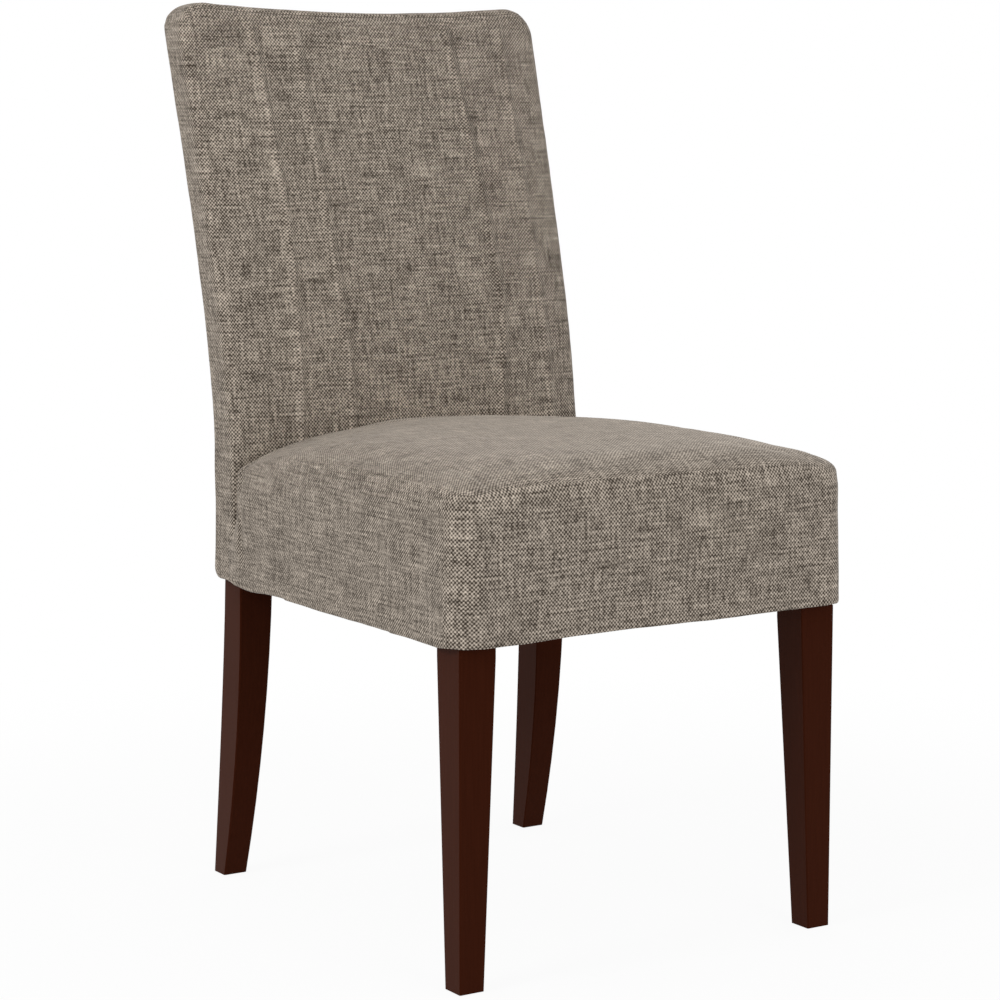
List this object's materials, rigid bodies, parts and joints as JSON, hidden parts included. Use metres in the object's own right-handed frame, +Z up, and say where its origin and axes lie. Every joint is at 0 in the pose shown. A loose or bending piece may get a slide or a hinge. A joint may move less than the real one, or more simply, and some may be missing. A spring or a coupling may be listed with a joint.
{
  "type": "parsons chair",
  "caption": "Armless upholstered side chair: a padded seat box and a padded, backward-curving back in woven fabric on dark tapered wooden legs.",
  "frame": {"origin": "on the floor, under the middle of the chair's outline", "axes": "+Z up, -Y towards the front of the seat, +X towards the right as seen from the front"},
  "size_m": [0.4898, 0.6446, 0.99],
  "materials": {
    "cover_fabric": "taupe linen-like tweed weave, matt",
    "espresso_wood": "dark espresso stain under satin lacquer",
    "raw_wood": "bare planed hardwood",
    "foam": "open-celled upholstery foam, matt",
    "webbing": "woven elastic webbing, matt",
    "black_cloth": "thin black non-woven cloth",
    "steel": "zinc-plated screw steel",
    "nylon": "dark brown moulded nylon"
  },
  "bodies": {
    "root": {"apron_padding": "foam", "back_cover": "cover_fabric", "back_foam": "foam", "back_strap_left": "webbing", "back_strap_middle": "webbing", "back_strap_right": "webbing", "block_screw_front_left_cross": "steel", "block_screw_front_left_side": "steel", "block_screw_front_right_cross": "steel", "block_screw_front_right_side": "steel", "block_screw_rear_left_cross": "steel", "block_screw_rear_left_side": "steel", "block_screw_rear_right_cross": "steel", "block_screw_rear_right_side": "steel", "corner_block_front_left": "raw_wood", "corner_block_front_right": "raw_wood", "corner_block_rear_left": "raw_wood", "corner_block_rear_right": "raw_wood", "crest_rail": "raw_wood", "dowel_cross_front_left_high": "raw_wood", "dowel_cross_front_left_low": "raw_wood", "dowel_cross_front_right_high": "raw_wood", "dowel_cross_front_right_low": "raw_wood", "dowel_cross_rear_left_high": "raw_wood", "dowel_cross_rear_left_low": "raw_wood", "dowel_cross_rear_right_high": "raw_wood", "dowel_cross_rear_right_low": "raw_wood", "dowel_side_front_left_high": "raw_wood", "dowel_side_front_left_low": "raw_wood", "dowel_side_front_right_high": "raw_wood", "dowel_side_front_right_low": "raw_wood", "dowel_side_rear_left_high": "raw_wood", "dowel_side_rear_left_low": "raw_wood", "dowel_side_rear_right_high": "raw_wood", "dowel_side_rear_right_low": "raw_wood", "dust_cover": "black_cloth", "front_leg_left": "espresso_wood", "front_leg_right": "espresso_wood", "front_rail": "raw_wood", "glide_front_left": "nylon", "glide_front_right": "nylon", "glide_rear_left": "nylon", "glide_rear_right": "nylon", "lower_back_rail": "raw_wood", "outside_back": "cover_fabric", "rear_post_left": "espresso_wood", "rear_post_right": "espresso_wood", "rear_rail": "raw_wood", "seat_cover": "cover_fabric", "seat_foam": "foam", "seat_strap_crosswise_front": "webbing", "seat_strap_crosswise_middle": "webbing", "seat_strap_crosswise_rear": "webbing", "seat_strap_lengthwise_left": "webbing", "seat_strap_lengthwise_middle": "webbing", "seat_strap_lengthwise_right": "webbing", "side_rail_left": "raw_wood", "side_rail_right": "raw_wood"}
  },
  "joints": []
}
